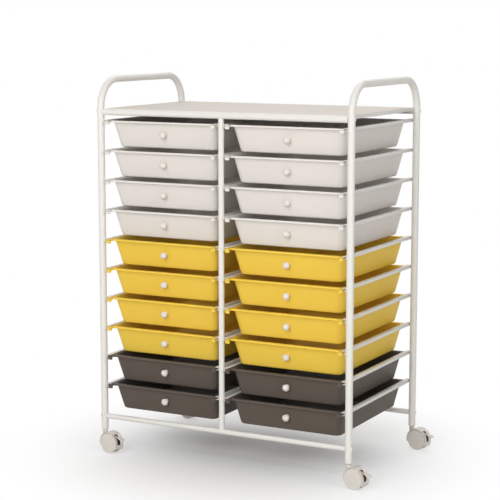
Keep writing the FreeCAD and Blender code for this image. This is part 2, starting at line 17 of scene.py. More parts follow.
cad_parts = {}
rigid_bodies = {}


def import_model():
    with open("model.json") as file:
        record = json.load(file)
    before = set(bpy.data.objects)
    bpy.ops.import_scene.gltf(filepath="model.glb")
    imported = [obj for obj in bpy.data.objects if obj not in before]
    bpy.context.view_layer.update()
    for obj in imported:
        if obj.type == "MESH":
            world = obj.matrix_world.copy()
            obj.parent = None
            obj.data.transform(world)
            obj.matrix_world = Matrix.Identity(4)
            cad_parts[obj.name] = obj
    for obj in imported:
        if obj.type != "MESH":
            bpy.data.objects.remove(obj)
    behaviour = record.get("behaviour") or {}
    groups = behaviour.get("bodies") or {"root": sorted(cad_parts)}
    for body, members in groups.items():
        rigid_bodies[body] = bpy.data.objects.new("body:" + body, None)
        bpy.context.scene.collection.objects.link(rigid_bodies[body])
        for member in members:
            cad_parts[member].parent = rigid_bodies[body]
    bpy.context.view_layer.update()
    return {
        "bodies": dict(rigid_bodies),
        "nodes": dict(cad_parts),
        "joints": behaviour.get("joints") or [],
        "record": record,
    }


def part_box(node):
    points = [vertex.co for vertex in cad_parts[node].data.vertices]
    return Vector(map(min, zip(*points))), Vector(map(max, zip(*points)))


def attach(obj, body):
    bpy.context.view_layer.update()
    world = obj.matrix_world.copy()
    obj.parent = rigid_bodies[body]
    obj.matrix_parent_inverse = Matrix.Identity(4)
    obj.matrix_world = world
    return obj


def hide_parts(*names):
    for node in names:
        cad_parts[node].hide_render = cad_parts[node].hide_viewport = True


LOG = logging.getLogger("cart")

MM = 0.001
ROWS = 10
CORNERS = ("front_left", "front_right", "rear_left", "rear_right")
QUARTER_TURN = math.radians(90)

# Edges that turn by more degrees than this stay sharp
SHARP = 40.0
MOULDING_SHARP = 50.0
TUBE_SHARP = 60.0

# Sockets of a Mix node that mixes colours
MIX_FACTOR = 0
MIX_FIRST = 6
MIX_SECOND = 7
MIX_RESULT = 2

# A screen's curve from shown colour to light: a straight foot, then a power
SCREEN_WHITE = 255
FOOT_END = 0.04045
FOOT_SLOPE = 12.92
CURVE_LIFT = 0.055
CURVE_POWER = 2.4

Triple = tuple[float, float, float]
Colour = Triple
Number = Union[float, "Value"]
Mesh = bmesh.types.BMesh
Edges = list[bmesh.types.BMEdge]
Profile = list[tuple[float, float]]


class Side(Enum):
    """A side of the cart, as the sign of its X."""

    LEFT = -1
    RIGHT = 1

    @property
    def word(self) -> str:
        """The side as the nodes' names say it."""
        return self.name.lower()


class Way(Enum):
    """The way that a straight tube lies, as its turn about Y from upright."""

    UPRIGHT = 0.0
    ACROSS = QUARTER_TURN


def linear(red: int, green: int, blue: int) -> Colour:
    """Turn a colour of 0 to 255 as a screen shows it into linear light.

    Args:
        red: Red as shown on screen.
        green: Green as shown on screen.
        blue: Blue as shown on screen.

    Returns:
        The three channels in linear light, from 0 to 1.
    """
    channels = []
    for shown in (red, green, blue):
        part = shown / SCREEN_WHITE
        if part <= FOOT_END:
            channels.append(part / FOOT_SLOPE)
        else:
            channels.append(((part + CURVE_LIFT) / (1 + CURVE_LIFT)) ** CURVE_POWER)
    return (channels[0], channels[1], channels[2])


class Value:
    """A number socket in a material that takes part in Python expressions."""

    def __init__(self, graph: "Graph", socket: bpy.types.NodeSocket) -> None:
        """Keep the socket and the graph that it belongs to."""
        self.graph = graph
        self.socket = socket

    def _math(self, operation: str, first: Number, second: Number) -> "Value":
        """Add one Math node and give its result."""
        return self.graph.node("ShaderNodeMath", {"operation": operation}, {0: first, 1: second})

    def __add__(self, other: Number) -> "Value":
        """Sum of the two."""
        return self._math("ADD", self, other)

    def __sub__(self, other: Number) -> "Value":
        """This less the other."""
        return self._math("SUBTRACT", self, other)

    def __rsub__(self, other: Number) -> "Value":
        """The other less this."""
        return self._math("SUBTRACT", other, self)

    def __mul__(self, other: Number) -> "Value":
        """Product of the two."""
        return self._math("MULTIPLY", self, other)

    __radd__ = __add__
    __rmul__ = __mul__


class Graph:
    """The node tree of one material or of the world."""

    def __init__(self, tree: bpy.types.NodeTree) -> None:
        """Start from an empty tree."""
        self.tree = tree
        tree.nodes.clear()

    def node(self, kind: str, settings: dict[str, Any], inputs: dict[Any, Any],
             output: Any = 0) -> Value:
        """Add one node.

        Args:
            kind: The node's type.
            settings: Its settings, set first.
            inputs: Values or links of its sockets, by name or number.
            output: The socket that is given back, by name or number.

        Returns:
            The chosen output, or the first input of a node that ends the tree.
        """
        made = self.tree.nodes.new(kind)
        for key, setting in settings.items():
            setattr(made, key, setting)
        for key, given in inputs.items():
            if isinstance(given, Value):
                self.tree.links.new(given.socket, made.inputs[key])
            else:
                made.inputs[key].default_value = given
        return Value(self, made.outputs[output]) if made.outputs else Value(self, made.inputs[0])

    def noise(self, scale: float, detail: float, stretch: Triple = (1, 1, 1)) -> Value:
        """Noise on the piece's own coordinates, from 0 to 1.

        Args:
            scale: Waves per metre.
            detail: Finer layers on top of the first.
            stretch: Factors along X, Y and Z.

        Returns:
            The noise as a number.
        """
        spot = self.node("ShaderNodeTexCoord", {}, {}, "Object")
        mapped = self.node("ShaderNodeMapping", {}, {"Vector": spot, "Scale": stretch})
        inputs = {"Vector": mapped, "Scale": scale, "Detail": detail}
        return self.node("ShaderNodeTexNoise", {}, inputs)

    def blend(self, factor: Value, first: Colour, second: Colour) -> Value:
        """Mix two colours by a factor.

        Args:
            factor: 0 for the first colour, 1 for the second.
            first: The first colour.
            second: The second colour.

        Returns:
            The mixed colour.
        """
        inputs = {MIX_FACTOR: factor, MIX_FIRST: (*first, 1.0), MIX_SECOND: (*second, 1.0)}
        return self.node("ShaderNodeMix", {"data_type": "RGBA"}, inputs, MIX_RESULT)


@dataclass(frozen=True)
class Finish:
    """A coated or moulded surface with a soft drift of tone and a fine skin."""

    name: str
    colour: Colour
    shade: Colour
    roughness: float
    roughness_drift: float = 0.10
    coat: float = 0.0
    coat_roughness: float = 0.12
    gloss: float = 0.35

    # Factors of the drift's waves along X, Y and Z
    stretch: Triple = (1, 1, 1)

    # Waves per metre, finer layers and height of the slow drift, the grain and the ripple
    drift_scale: float = 9.0
    drift_detail: float = 3.0
    grain_scale: float = 1100.0
    grain_detail: float = 2.0
    grain_depth: float = 0.04 * MM
    ripple_scale: float = 160.0
    ripple_detail: float = 1.0
    ripple_depth: float = 0.03 * MM

    # How much drift, grain and ripple count in the tone, and drift and grain in the roughness
    tone_shares: Triple = (0.7, 0.2, 0.1)
    rough_shares: tuple[float, float] = (0.6, 0.4)
    rough_middle: float = 0.5

    def material(self) -> bpy.types.Material:
        """Build the material.

        Returns:
            The finished material.
        """
        made = bpy.data.materials.new(self.name)
        made.use_nodes = True
        graph = Graph(made.node_tree)
        drift = graph.noise(self.drift_scale, self.drift_detail, self.stretch)
        grain = graph.noise(self.grain_scale, self.grain_detail)
        ripple = graph.noise(self.ripple_scale, self.ripple_detail)
        by_drift, by_grain, by_ripple = self.tone_shares
        mottle = drift * by_drift + grain * by_grain + ripple * by_ripple
        tone = graph.blend(mottle, self.shade, self.colour)
        by_drift, by_grain = self.rough_shares
        unevenness = drift * by_drift + grain * by_grain - self.rough_middle
        rough = self.roughness + self.roughness_drift * unevenness
        height = grain * self.grain_depth + ripple * self.ripple_depth
        skin = graph.node("ShaderNodeBump", {}, {"Strength": 1.0, "Distance": 1.0, "Height": height})
        inputs = {"Base Color": tone, "Roughness": rough, "Normal": skin,
                  "Specular IOR Level": self.gloss, "Coat Weight": self.coat,
                  "Coat Roughness": self.coat_roughness}
        shader = graph.node("ShaderNodeBsdfPrincipled", {}, inputs)
        graph.node("ShaderNodeOutputMaterial", {}, {"Surface": shader})
        return made


class Finishes(Enum):
    """The cart's finishes."""

    FRAME = Finish("cream_powder_coat", linear(233, 230, 225), linear(224, 221, 215), roughness=0.36,
                   drift_scale=5.0, grain_scale=1500.0, ripple_scale=320.0)
    TOP = Finish("beige_board", linear(216, 208, 198), linear(206, 197, 186), roughness=0.52,
                 drift_scale=7.0, grain_scale=900.0, stretch=(1, 0.3, 1))
    # Painted shade: a dark brown for the board's underside, standing in for the shade under the top
    BACKING = Finish("brown_hardboard", linear(122, 86, 56), linear(98, 66, 42), roughness=0.75,
                     drift_scale=30.0, grain_scale=700.0, grain_depth=0.1 * MM, stretch=(0.3, 1, 1))
    WHITE = Finish("warm_white_moulding", linear(233, 228, 222), linear(225, 219, 212), roughness=0.44,
                   stretch=(0.5, 1, 1), gloss=0.15)
    YELLOW = Finish("yellow_moulding", linear(245, 210, 88), linear(238, 199, 74), roughness=0.44,
                    stretch=(0.5, 1, 1), gloss=0.1)
    DARK = Finish("grey_brown_moulding", linear(102, 93, 85), linear(93, 84, 76), roughness=0.44,
                  stretch=(0.5, 1, 1), gloss=0.1)
    KNOB = Finish("cream_knob", linear(229, 222, 215), linear(222, 214, 206), roughness=0.36,
                  drift_scale=40.0, grain_scale=1500.0, grain_depth=0.02 * MM, coat=0.05, gloss=0.2)
    CASTER = Finish("cream_caster", linear(227, 221, 213), linear(217, 210, 201), roughness=0.38,
                    drift_scale=40.0, grain_scale=1400.0)
    WHEEL = Finish("cream_wheel", linear(224, 218, 210), linear(214, 207, 198), roughness=0.36,
                   drift_scale=40.0, grain_scale=1400.0)
    # Painted shade: a dark colour laid on the hoods' insides between the wheels, where they stand in
    # shadow
    RECESS = Finish("dark_recess", linear(62, 50, 42), linear(46, 37, 31), roughness=0.70,
                    drift_scale=60.0)


class Palette:
    """Makes each finish once."""

    def __init__(self) -> None:
        """Start with no material made."""
        self._made: dict[Finishes, bpy.types.Material] = {}

    def __getitem__(self, finish: Finishes) -> bpy.types.Material:
        """Give the material of a finish, made when it is first asked for.

        Args:
            finish: The finish.

        Returns:
            Its material.
        """
        if finish not in self._made:
            self._made[finish] = finish.value.material()
        return self._made[finish]


class DrawerColour(Enum):
    """What a row's drawers are moulded in."""

    WHITE = (Finishes.WHITE, "white_plastic", 4)
    YELLOW = (Finishes.YELLOW, "yellow_plastic", 8)
    DARK = (Finishes.DARK, "dark_plastic", 10)

    def __init__(self, finish: Finishes, slot: str, last_row: int) -> None:
        """Keep what a colour's drawers share.

        Args:
            finish: Their finish.
            slot: The record's slot for it.
            last_row: The last row that has it.
        """
        self.finish = finish
        self.slot = slot
        self.last_row = last_row

    @classmethod
    def of_row(cls, row: int) -> "DrawerColour":
        """The colour of a row, counted from 1 at the top."""
        return next(colour for colour in cls if row <= colour.last_row)


def make_object(bm: Mesh, name: str, *materials: bpy.types.Material,
                sharp_degrees: float = SHARP) -> bpy.types.Object:
    """Turn a bmesh into an object at the origin, shaded smooth but for its sharp edges.

    Args:
        bm: The shape, in its place, in metres. It is freed.
        name: The object's name.
        materials: Its finishes, in the order that its faces number them.
        sharp_degrees: Edges that turn by more than this stay sharp.

    Returns:
        The new object.
    """
    bmesh.ops.recalc_face_normals(bm, faces=bm.faces[:])
    mesh = bpy.data.meshes.new(name)
    bm.to_mesh(mesh)
    bm.free()
    for material in materials:
        mesh.materials.append(material)
    mesh.shade_smooth()
    mesh.set_sharp_from_angle(angle=math.radians(sharp_degrees))
    made = bpy.data.objects.new(name, mesh)
    bpy.context.scene.collection.objects.link(made)
    return made


def place(piece: bpy.types.Object, body: str, slot: str, *nodes: str) -> None:
    """Let a piece ride on its body in place of its nodes, and report it.

    Args:
        piece: The finished piece.
        body: The body that it moves with.
        slot: Not used.
        nodes: The nodes that it stands for.
    """
    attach(piece, body)
    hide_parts(*nodes)
    LOG.info("%s rides on %s", piece.name, body)


def verts_of(geometry: Iterable[Any]) -> list[bmesh.types.BMVert]:
    """The vertices in an operator's result."""
    return [item for item in geometry if isinstance(item, bmesh.types.BMVert)]


def edges_of(geometry: Iterable[Any]) -> Edges:
    """The edges in an operator's result."""
    return [item for item in geometry if isinstance(item, bmesh.types.BMEdge)]


def bevel(bm: Mesh, edges: Edges, width: float, segments: int) -> None:
    """Round some edges.

    Args:
        bm: The shape.
        edges: The edges to round.
        width: How far the rounding reaches along each face.
        segments: Steps of the rounding.
    """
    bmesh.ops.bevel(bm, geom=edges, offset=width, offset_type="OFFSET", segments=segments,
                    profile=0.5, affect="EDGES", material=-1, clamp_overlap=True)


def block(bm: Mesh, low: Vector, high: Vector, width: float, segments: int) -> None:
    """Add a block with rounded edges.

    Args:
        bm: The shape that it is added to.
        low: Its lowest corner.
        high: Its highest corner.
        width: The rounding along its edges.
        segments: Steps of the rounding.
    """
    size = high - low
    matrix = Matrix.Translation((low + high) / 2) @ Matrix.Diagonal((size.x, size.y, size.z, 1))
    made = bmesh.ops.create_cube(bm, size=1.0, matrix=matrix)
    edges = {edge for vert in made["verts"] for edge in vert.link_edges}
    bevel(bm, list(edges), width, segments)


@dataclass
class Tubework:
    """The bent side tubes, the middle posts and the crossbars."""

    post_x: float
    post_y: float
    post_r: float
    foot_z: float
    handle_z: float
    top_bar_z: float
    low_bar_z: float
    top_bar_r: float
    middle_r: float
    low_bar_r: float = 6.0 * MM
    bend: float = 64.0 * MM
    round_steps: int = 40
    bend_steps: int = 20
    wall: float = 1.2 * MM

    # How far a tube reaches into the one that it meets, and the hole in a post's end
    joint_overlap: float = 1.0 * MM
    foot_hole: float = 26.0 * MM

    @classmethod
    def from_frame(cls) -> "Tubework":
        """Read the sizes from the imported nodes.

        Returns:
            The tubework at its real size.
        """
        low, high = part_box("right_side_tube")
        bar_low, bar_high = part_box("crossbars")
        post_low, post_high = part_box("middle_posts")
        post_r = (high.x - low.x) / 2
        post_y = high.y - post_r
        top_bar_r = bar_high.y - post_y
        return cls(post_x=(high.x + low.x) / 2, post_y=post_y, post_r=post_r, foot_z=low.z,
                   handle_z=high.z - post_r, top_bar_z=bar_high.z - top_bar_r,
                   low_bar_z=bar_low.z + cls.low_bar_r, top_bar_r=top_bar_r,
                   middle_r=(post_high.x - post_low.x) / 2)

    def _ring(self, bm: Mesh, radius: float, centre: Vector, way: Way) -> Edges:
        """Add an open circle of edges.

        Args:
            bm: The shape that it is added to.
            radius: Its radius.
            centre: Its centre.
            way: The way that its tube lies.

        Returns:
            Its edges.
        """
        turn = Matrix.Rotation(way.value, 4, "Y")
        made = bmesh.ops.create_circle(bm, cap_ends=False, radius=radius, segments=self.round_steps,
                                       matrix=Matrix.Translation(centre) @ turn)
        return list({edge for vert in made["verts"] for edge in vert.link_edges})

    @staticmethod
    def _run(bm: Mesh, ring: Edges, vector: Vector) -> Edges:
        """Draw a ring out to a straight length of tube.

        Args:
            bm: The shape.
            ring: The ring's edges.
            vector: The way to the far end.

        Returns:
            The far ring's edges.
        """
        made = bmesh.ops.extrude_edge_only(bm, edges=ring)
        bmesh.ops.translate(bm, verts=verts_of(made["geom"]), vec=vector)
        return edges_of(made["geom"])

    def _turn(self, bm: Mesh, ring: Edges, centre: Vector) -> Edges:
        """Sweep a ring a quarter turn backwards, over the top.

        Args:
            bm: The shape.
            ring: The ring's edges.
            centre: The point that it turns about.

        Returns:
            The far ring's edges.
        """
        made = bmesh.ops.spin(bm, geom=ring, cent=centre, axis=(1, 0, 0), angle=-QUARTER_TURN,
                              steps=self.bend_steps, use_merge=False)
        return edges_of(made["geom_last"])

    def _foot(self, bm: Mesh, ring: Edges, centre: Vector) -> None:
        """Close a post's end with the blind hole that holds a caster's socket.

        Args:
            bm: The tube.
            ring: The edges of its open end.
            centre: The middle of that end.
        """
        made = bmesh.ops.extrude_edge_only(bm, edges=ring)
        share = 1 - self.wall / self.post_r
        bmesh.ops.scale(bm, vec=(share, share, 1), space=Matrix.Translation(-centre),
                        verts=verts_of(made["geom"]))
        roof = self._run(bm, edges_of(made["geom"]), Vector((0, 0, self.foot_hole)))
        bmesh.ops.contextual_create(bm, geom=roof)

    def side_tube(self, side: Side) -> Mesh:
        """Build one side tube: up the front, over the handle and down the rear.

        Args:
            side: The side that it stands on.

        Returns:
            The tube.
        """
        bm = bmesh.new()
        x = side.value * self.post_x
        bend_y = self.post_y - self.bend
        bend_z = self.handle_z - self.bend
        rise = Vector((0, 0, bend_z - self.foot_z))
        ring = self._ring(bm, self.post_r, Vector((x, -self.post_y, self.foot_z)), Way.UPRIGHT)
        foot = ring
        ring = self._run(bm, ring, rise)
        ring = self._turn(bm, ring, Vector((x, -bend_y, bend_z)))
        ring = self._run(bm, ring, Vector((0, 2 * bend_y, 0)))
        ring = self._turn(bm, ring, Vector((x, bend_y, bend_z)))
        ring = self._run(bm, ring, -rise)
        self._foot(bm, foot, Vector((x, -self.post_y, self.foot_z)))
        self._foot(bm, ring, Vector((x, self.post_y, self.foot_z)))
        return bm

    def straight(self, radius: float, start: Vector, end: Vector, way: Way) -> Mesh:
        """Build one straight tube with closed ends.

        Args:
            radius: Its outside radius.
            start: The centre of one end.
            end: The centre of the other end.
            way: The way that it lies.

        Returns:
            The tube.
        """
        bm = bmesh.new()
        first = self._ring(bm, radius, start, way)
        last = self._run(bm, first, end - start)
        bmesh.ops.contextual_create(bm, geom=first)
        bmesh.ops.contextual_create(bm, geom=last)
        return bm

    def build(self, palette: Palette) -> None:
        """Build and dress all tubes.

        Args:
            palette: The finishes.
        """
        paint = palette[Finishes.FRAME]
        for side in Side:
            piece = make_object(self.side_tube(side), f"{side.word}_tube", paint,
                                sharp_degrees=TUBE_SHARP)
            place(piece, "frame", "frame_paint", f"{side.word}_side_tube")
        reach = self.post_x - self.post_r + self.joint_overlap
        low = self.low_bar_z + self.low_bar_r - self.joint_overlap
        high = self.top_bar_z - self.top_bar_r + self.joint_overlap
        bars = (("top", self.top_bar_z, self.top_bar_r), ("low", self.low_bar_z, self.low_bar_r))
        for word, y in (("front", -self.post_y), ("rear", self.post_y)):
            for level, z, radius in bars:
                bar = self.straight(radius, Vector((-reach, y, z)), Vector((reach, y, z)), Way.ACROSS)
                piece = make_object(bar, f"{level}_{word}_bar", paint, sharp_degrees=TUBE_SHARP)
                place(piece, "frame", "frame_paint", "crossbars")
            post = self.straight(self.middle_r, Vector((0, y, low)), Vector((0, y, high)), Way.UPRIGHT)
            piece = make_object(post, f"middle_{word}_post", paint, sharp_degrees=TUBE_SHARP)
            place(piece, "frame", "frame_paint", "middle_posts")


@dataclass
class Rails:
    """The folded channels beside the drawers and the angles under the top."""

    wall: float = 1.0 * MM
    depth: float = 9.5 * MM
    ledge_width: float = 14.0 * MM
    edge: float = 0.3 * MM
    edge_steps: int = 2

    # The height of a drawer's rim, and the room under, over and beside it
    hem: float = 4.0 * MM
    rest_gap: float = 0.3 * MM
    top_gap: float = 0.6 * MM
    side_gap: float = 1.2 * MM

    def _fold(self, bm: Mesh, profile: Profile, y_low: float, y_high: float) -> None:
        """Add a folded strip with softened edges.

        Args:
            bm: The shape that it is added to.
            profile: X and Z of its corners, in order.
            y_low: Where it starts along Y.
            y_high: Where it ends along Y.
        """
        verts = [bm.verts.new((x, y_low, z)) for x, z in profile]
        face = bm.faces.new(verts)
        made = bmesh.ops.extrude_face_region(bm, geom=[face])
        bmesh.ops.translate(bm, verts=verts_of(made["geom"]), vec=(0, y_high - y_low, 0))
        ends = set(verts) | set(verts_of(made["geom"]))
        edges = [edge for edge in bm.edges if edge.verts[0] in ends and edge.verts[1] in ends]
        bevel(bm, edges, self.edge, self.edge_steps)

    def _channel(self, web_x: float, opens: Side, rim_z: float) -> Profile:
        """Work out the C profile of one rail.

        Args:
            web_x: Where its web stands, on the outside.
            opens: The side that it opens to.
            rim_z: The height of its drawer's rim.

        Returns:
            X and Z of its corners, in order.
        """
        low = rim_z - self.hem - self.rest_gap - self.wall
        high = rim_z + self.top_gap + self.wall
        inner_x = web_x + opens.value * self.wall
        tip_x = web_x + opens.value * self.depth
        return [(web_x, low), (tip_x, low), (tip_x, low + self.wall), (inner_x, low + self.wall),
                (inner_x, high - self.wall), (tip_x, high - self.wall), (tip_x, high), (web_x, high)]

    def build(self, palette: Palette) -> None:
        """Build and dress all rails as one piece.

        Args:
            palette: The finishes.
        """
        bm = bmesh.new()
        low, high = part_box("drawer_rails")
        reach = self.side_gap + self.wall
        for side in Side:
            column = side.word
            for row in range(1, ROWS + 1):
                rim_low, rim_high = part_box(f"drawer_{column}_{row:02d}")
                left_rail = self._channel(rim_low.x - reach, Side.RIGHT, rim_high.z)
                right_rail = self._channel(rim_high.x + reach, Side.LEFT, rim_high.z)
                self._fold(bm, left_rail, low.y, high.y)
                self._fold(bm, right_rail, low.y, high.y)
            self._ledge(bm, side, high)
        place(make_object(bm, "rails", palette[Finishes.FRAME]), "frame", "frame_paint", "drawer_rails")

    def _ledge(self, bm: Mesh, side: Side, rail_high: Vector) -> None:
        """Add the angle that carries one edge of the top.

        Args:
            bm: The shape that it is added to.
            side: The side that the edge is on.
            rail_high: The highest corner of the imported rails.
        """
        top_low, top_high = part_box("top_shelf")
        outer = side.value * rail_high.x
        inner = outer - side.value * self.wall
        tip = outer - side.value * self.ledge_width
        bottom = top_low.z - self.wall
        profile = [(outer, bottom), (tip, bottom), (tip, bottom + self.wall),
                   (inner, bottom + self.wall), (inner, top_high.z), (outer, top_high.z)]
        self._fold(bm, profile, top_low.y, top_high.y)


@dataclass
class Section:
    """One level outline of a tray: a rectangle with round corners."""

    half_x: float
    half_y: float
    radius: float
    z: float

    def arc_centre(self, sign_x: int, sign_y: int) -> Vector:
        """Centre of the rounding at one corner."""
        return Vector((sign_x * (self.half_x - self.radius),
                       sign_y * (self.half_y - self.radius), self.z))


@dataclass
class Tray:
    """A moulded drawer: tapering walls, a rim with a hem, and two stop tabs."""

    rim_half_x: float
    rim_half_y: float
    height: float
    front_y: float

    # How far the rim stands out from the walls, its corners, and the hem that hangs from it
    rim_side: float = 10.3 * MM
    rim_front: float = 7.5 * MM
    rim_corner: float = 9.0 * MM
    hem: float = 4.0 * MM
    rim_round: float = 0.9 * MM
    hem_round: float = 0.5 * MM

    # Walls, floor and corners, and how far the walls lean in from rim to floor
    wall: float = 2.0 * MM
    floor: float = 2.2 * MM
    corner: float = 14.0 * MM
    draft_side: float = 12.0 * MM
    draft_front: float = 14.5 * MM
    floor_round: float = 4.0 * MM

    # The stop tabs, whose far sides lie at tab_far from the middle
    tab_width: float = 10.0 * MM
    tab_thick: float = 4.5 * MM
    tab_drop: float = 9.0 * MM
    tab_far: float = 141.0 * MM
    tab_round: float = 0.9 * MM

    # Steps of each rounding
    corner_steps: int = 8
    floor_steps: int = 5
    inside_steps: int = 4
    rim_steps: int = 4
    hem_steps: int = 2
    tab_steps: int = 3

    @classmethod
    def from_frame(cls) -> "Tray":
        """Read the sizes from the first drawer.

        Returns:
            The tray at its real size.
        """
        low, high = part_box("drawer_left_01")
        return cls((high.x - low.x) / 2, high.y, high.z - low.z, low.y)

    def _wall_section(self, inset: float, z: float) -> Section:
        """The outline of the tapering wall at a height below the rim, moved in by inset."""
        lean = -z / self.height
        return Section(self.rim_half_x - self.rim_side - inset - self.draft_side * lean,
                       self.rim_half_y - self.rim_front - inset - self.draft_front * lean,
                       self.corner - inset, z)

    def _rim_section(self, inset: float, z: float) -> Section:
        """The outline of the rim at a height, moved in by inset."""
        return Section(self.rim_half_x - inset, self.rim_half_y - inset, self.rim_corner - inset, z)

    def _start(self, bm: Mesh, section: Section) -> Edges:
        """Add the first outline as a face with round corners.

        Args:
            bm: The empty shape.
            section: The outline.

        Returns:
            Its edges.
        """
        signs = ((1, 1), (-1, 1), (-1, -1), (1, -1))
        verts = [bm.verts.new((sx * section.half_x, sy * section.half_y, section.z))
                 for sx, sy in signs]
        bm.faces.new(verts)
        bmesh.ops.bevel(bm, geom=verts, offset=section.radius, segments=self.corner_steps, profile=0.5,
                        affect="VERTICES", material=-1)
        return bm.edges[:]

    @staticmethod
    def _step(bm: Mesh, loop: Edges, old: Section, new: Section) -> Edges:
        """Draw an outline out to the next one.

        Args:
            bm: The shape.
            loop: The edges of the outline.
            old: The outline.
            new: The next outline.

        Returns:
            The edges of the next outline.
        """
        made = bmesh.ops.extrude_edge_only(bm, edges=loop)
        verts = verts_of(made["geom"])
        scale = new.radius / old.radius
        for sx in (-1, 1):
            for sy in (-1, 1):
                corner = [v for v in verts if v.co.x * sx > 0 and v.co.y * sy > 0]
                centre = old.arc_centre(sx, sy)
                bmesh.ops.scale(bm, vec=(scale, scale, 1), space=Matrix.Translation(-centre),
                                verts=corner)
                bmesh.ops.translate(bm, vec=new.arc_centre(sx, sy) - centre, verts=corner)
        return edges_of(made["geom"])

    def shape(self, x: float, rim_z: float) -> Mesh:
        """Build one tray in its place.

        Args:
            x: The middle of its column.
            rim_z: The height of its rim.

        Returns:
            The tray, as one closed skin with its tabs.
        """
        bm = bmesh.new()
        outer_floor = self._wall_section(0, -self.height)
        inner_floor = self._wall_section(self.wall, self.floor - self.height)
        sections = [(self._wall_section(0, -self.wall), self.hem_round, self.hem_steps),
                    (self._rim_section(self.wall, -self.wall), 0, 0),
                    (self._rim_section(self.wall, -self.hem), self.hem_round, self.hem_steps),
                    (self._rim_section(0, -self.hem), self.hem_round, self.hem_steps),
                    (self._rim_section(0, 0), self.rim_round, self.rim_steps),
                    (self._wall_section(self.wall, 0), self.rim_round, self.rim_steps),
                    (inner_floor, self.floor_round - self.wall, self.inside_steps)]
        loop = self._start(bm, outer_floor)
        rounds = [(loop, self.floor_round, self.floor_steps)]
        last = outer_floor
        for section, width, segments in sections:
            loop = self._step(bm, loop, last, section)
            rounds.append((loop, width, segments))
            last = section
        bmesh.ops.contextual_create(bm, geom=loop)
        for edges, width, segments in rounds:
            if segments:
                bevel(bm, edges, width, segments)
        for side in Side:
            self._tab(bm, side)
        bmesh.ops.translate(bm, verts=bm.verts[:], vec=(x, 0, rim_z))
        return bm

    def _tab(self, bm: Mesh, side: Side) -> None:
        """Add one ear of the rim with the stop tab under its front.

        Args:
            bm: The tray.
            side: The side that it is on.
        """
        ends = (side.value * (self.tab_far - self.tab_width), side.value * self.tab_far)
        ear_low = Vector((min(ends), self.front_y, -self.hem))
        ear_high = Vector((max(ends), -self.rim_half_y + self.wall, 0))
        block(bm, ear_low, ear_high, self.tab_round, self.tab_steps)
        tab_low = Vector((min(ends), self.front_y, -self.tab_drop))
        tab_high = Vector((max(ends), self.front_y + self.tab_thick, -self.tab_round))
        block(bm, tab_low, tab_high, self.tab_round, self.tab_steps)


@dataclass
class Knob:
    """A turned knob, square to the leaning front wall, with its screw's head inside the drawer."""

    tray: Tray
    drop: float = 28.0 * MM
    length: float = 14.5 * MM
    head_r: float = 8.1 * MM
    base_r: float = 5.2 * MM
    neck_r: float = 4.5 * MM
    neck_at: float = 3.0 * MM
    head_at: float = 8.5 * MM
    screw_r: float = 4.0 * MM
    screw_head: float = 2.4 * MM
    seat_gap: float = 0.05 * MM
    weld: float = 0.001 * MM
    round_steps: int = 32
    dome_steps: int = 10
    waist_steps: int = 6

    def _dome(self, radius: float, low: float, high: float) -> Profile:
        """Work out the outline of a round cap.

        Args:
            radius: The radius of its edge.
            low: The height of its edge.
            high: The height of its tip.

        Returns:
            Radius and height of points from its edge to its tip.
        """
        rise = high - low
        sphere = (radius * radius + rise * rise) / (2 * rise)
        angle = math.atan2(radius, sphere - rise)
        steps = [angle * (1 - i / self.dome_steps) for i in range(self.dome_steps + 1)]
        return [(sphere * math.sin(a), high - sphere * (1 - math.cos(a))) for a in steps]

    def _waist(self) -> Profile:
        """Work out the outline where the neck swells into the head.

        Returns:
            Radius and height of points from the neck up.
        """
        points = []
        for i in range(self.waist_steps):
            angle = i / self.waist_steps * QUARTER_TURN
            swell = 1 - math.cos(angle)
            rise = math.sin(angle)
            points.append((self.neck_r + (self.head_r - self.neck_r) * swell,
                           self.neck_at + (self.head_at - self.neck_at) * rise))
        return points

    def _turned(self, bm: Mesh, outline: Profile) -> None:
        """Spin an outline about the Z axis.

        Args:
            bm: The shape that it is added to.
            outline: Radius and height of its points, in order.
        """
        verts = [bm.verts.new((radius, 0, height)) for radius, height in outline]
        edges = [bm.edges.new(pair) for pair in zip(verts, verts[1:])]
        bmesh.ops.spin(bm, geom=verts + edges, cent=(0, 0, 0), axis=(0, 0, 1), angle=math.tau,
                       steps=self.round_steps, use_merge=True)

    def shape(self, x: float, rim_z: float) -> Mesh:
        """Build one knob on its drawer.

        Args:
            x: The middle of its column.
            rim_z: The height of its drawer's rim.

        Returns:
            The knob and its screw's head.
        """
        bm = bmesh.new()
        tray = self.tray
        lean = math.atan2(tray.draft_front, tray.height)
        outline = [(0, self.seat_gap), (self.base_r, self.seat_gap)] + self._waist()
        self._turned(bm, outline + self._dome(self.head_r, self.head_at, self.length))
        inside = -tray.wall * math.cos(lean) - self.seat_gap
        dome = self._dome(self.screw_r, inside, inside + self.screw_head)
        self._turned(bm, [(0, inside)] + [(radius, 2 * inside - z) for radius, z in dome])
        bmesh.ops.remove_doubles(bm, verts=bm.verts[:], dist=self.weld)
        seat_y = -tray.rim_half_y + tray.rim_front + tray.draft_front * self.drop / tray.height
        outward = Vector((0, -math.cos(lean), -math.sin(lean)))
        turn = Vector((0, 0, 1)).rotation_difference(outward).to_matrix().to_4x4()
        seat = Matrix.Translation((x, seat_y, rim_z - self.drop))
        bmesh.ops.transform(bm, matrix=seat @ turn, verts=bm.verts[:])
        return bm


